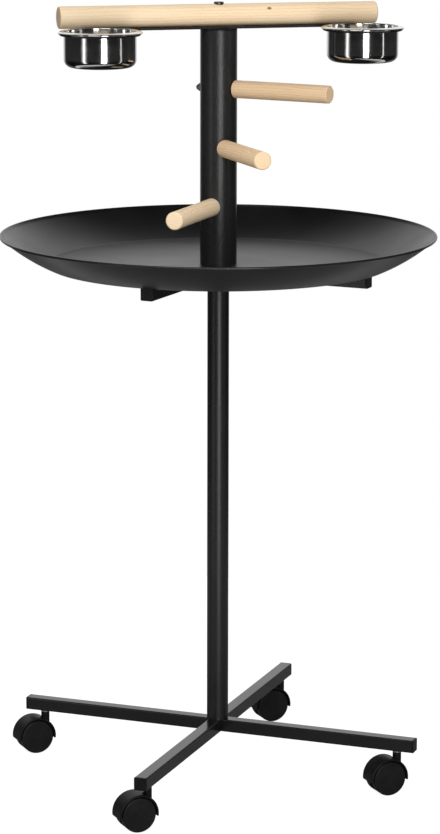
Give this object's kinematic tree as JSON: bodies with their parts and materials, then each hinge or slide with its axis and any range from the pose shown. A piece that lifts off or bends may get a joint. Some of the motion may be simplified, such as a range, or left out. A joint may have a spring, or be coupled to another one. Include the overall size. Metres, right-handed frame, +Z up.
{
  "type": "parrot play stand",
  "caption": "Rolling play stand for a parrot: cross base on twin-wheel casters, steel column, round tray, dowel side perches, and a top perch with lift-out feeding cups.",
  "frame": {"origin": "on the floor, under the axis of the column", "axes": "+Z up along the column, -Y towards the front that the picture shows, +X to the right"},
  "size_m": [0.5, 0.5, 0.9045],
  "materials": {
    "frame_paint": "satin",
    "hammered_paint": "hammered gloss",
    "tray_paint": "satin",
    "plug_plastic": "moulded",
    "caster_plastic": "moulded",
    "wheel_plastic": "moulded",
    "zinc_steel": "zinc plated",
    "dark_steel": "dark plated",
    "side_wood": "plain",
    "top_wood": "plain",
    "cup_steel": "polished"
  },
  "bodies": {
    "stand": {"base_long_bar": "frame_paint", "base_short_bar_back": "frame_paint", "base_short_bar_front": "frame_paint", "lower_pole": "frame_paint", "support_long_bar": "frame_paint", "support_short_bar_back": "frame_paint", "support_short_bar_front": "frame_paint", "holder_bar": "frame_paint", "cup_ring_left": "frame_paint", "cup_ring_right": "frame_paint", "upper_pole": "hammered_paint", "tray": "tray_paint", "pole_cap": "plug_plastic", "leg_plug_right": "plug_plastic", "leg_plug_back": "plug_plastic", "leg_plug_left": "plug_plastic", "leg_plug_front": "plug_plastic", "support_plug_right": "plug_plastic", "support_plug_back": "plug_plastic", "support_plug_left": "plug_plastic", "support_plug_front": "plug_plastic", "caster_stem_right": "zinc_steel", "caster_stem_back": "zinc_steel", "caster_stem_left": "zinc_steel", "caster_stem_front": "zinc_steel", "caster_nuts": "zinc_steel", "base_bolt": "zinc_steel", "lower_pole_foot_insert": "zinc_steel", "lower_pole_top_insert": "zinc_steel", "joining_stud": "zinc_steel", "upper_pole_foot_insert": "zinc_steel", "perch_cap_nuts": "zinc_steel", "perch_screw_upper": "zinc_steel", "perch_screw_middle": "zinc_steel", "perch_screw_lower": "zinc_steel", "perch_bolt": "dark_steel", "side_perch_upper": "side_wood", "side_perch_middle": "side_wood", "side_perch_lower": "side_wood", "top_perch": "top_wood"},
    "caster_right": {"caster_hood_right": "caster_plastic", "caster_axle_right": "zinc_steel"},
    "wheel_near_right": {"wheel_near_right": "wheel_plastic"},
    "wheel_far_right": {"wheel_far_right": "wheel_plastic"},
    "caster_back": {"caster_hood_back": "caster_plastic", "caster_axle_back": "zinc_steel"},
    "wheel_near_back": {"wheel_near_back": "wheel_plastic"},
    "wheel_far_back": {"wheel_far_back": "wheel_plastic"},
    "caster_left": {"caster_hood_left": "caster_plastic", "caster_axle_left": "zinc_steel"},
    "wheel_near_left": {"wheel_near_left": "wheel_plastic"},
    "wheel_far_left": {"wheel_far_left": "wheel_plastic"},
    "caster_front": {"caster_hood_front": "caster_plastic", "caster_axle_front": "zinc_steel"},
    "wheel_near_front": {"wheel_near_front": "wheel_plastic"},
    "wheel_far_front": {"wheel_far_front": "wheel_plastic"},
    "cup_left": {"cup_left": "cup_steel"},
    "cup_right": {"cup_right": "cup_steel"}
  },
  "joints": [
    {"name": "caster_swivel_right", "type": "hinge", "parent": "stand", "child": "caster_right", "pos_m": [0.2078, -0.07811, 0.042], "axis": [0, 0, 1], "continuous": true},
    {"name": "wheel_near_spin_right", "type": "hinge", "parent": "caster_right", "child": "wheel_near_right", "pos_m": [0.19465, -0.08397, 0.02], "axis": [0.4067, -0.9135, 0], "continuous": true},
    {"name": "wheel_far_spin_right", "type": "hinge", "parent": "caster_right", "child": "wheel_far_right", "pos_m": [0.19465, -0.08397, 0.02], "axis": [0.4067, -0.9135, 0], "continuous": true},
    {"name": "caster_swivel_back", "type": "hinge", "parent": "stand", "child": "caster_back", "pos_m": [0.07811, 0.2078, 0.042], "axis": [0, 0, 1], "continuous": true},
    {"name": "wheel_near_spin_back", "type": "hinge", "parent": "caster_back", "child": "wheel_near_back", "pos_m": [0.06495, 0.20195, 0.02], "axis": [0.4067, -0.9135, 0], "continuous": true},
    {"name": "wheel_far_spin_back", "type": "hinge", "parent": "caster_back", "child": "wheel_far_back", "pos_m": [0.06495, 0.20195, 0.02], "axis": [0.4067, -0.9135, 0], "continuous": true},
    {"name": "caster_swivel_left", "type": "hinge", "parent": "stand", "child": "caster_left", "pos_m": [-0.2078, 0.07811, 0.042], "axis": [0, 0, 1], "continuous": true},
    {"name": "wheel_near_spin_left", "type": "hinge", "parent": "caster_left", "child": "wheel_near_left", "pos_m": [-0.22096, 0.07225, 0.02], "axis": [0.4067, -0.9135, 0], "continuous": true},
    {"name": "wheel_far_spin_left", "type": "hinge", "parent": "caster_left", "child": "wheel_far_left", "pos_m": [-0.22096, 0.07225, 0.02], "axis": [0.4067, -0.9135, 0], "continuous": true},
    {"name": "caster_swivel_front", "type": "hinge", "parent": "stand", "child": "caster_front", "pos_m": [-0.07811, -0.2078, 0.042], "axis": [0, 0, 1], "continuous": true},
    {"name": "wheel_near_spin_front", "type": "hinge", "parent": "caster_front", "child": "wheel_near_front", "pos_m": [-0.09126, -0.21366, 0.02], "axis": [0.4067, -0.9135, 0], "continuous": true},
    {"name": "wheel_far_spin_front", "type": "hinge", "parent": "caster_front", "child": "wheel_far_front", "pos_m": [-0.09126, -0.21366, 0.02], "axis": [0.4067, -0.9135, 0], "continuous": true},
    {"name": "cup_lift_left", "type": "slide", "parent": "stand", "child": "cup_left", "axis": [0, 0, 1], "range_m": [0, 0.06]},
    {"name": "cup_lift_right", "type": "slide", "parent": "stand", "child": "cup_right", "axis": [0, 0, 1], "range_m": [0, 0.06]}
  ]
}
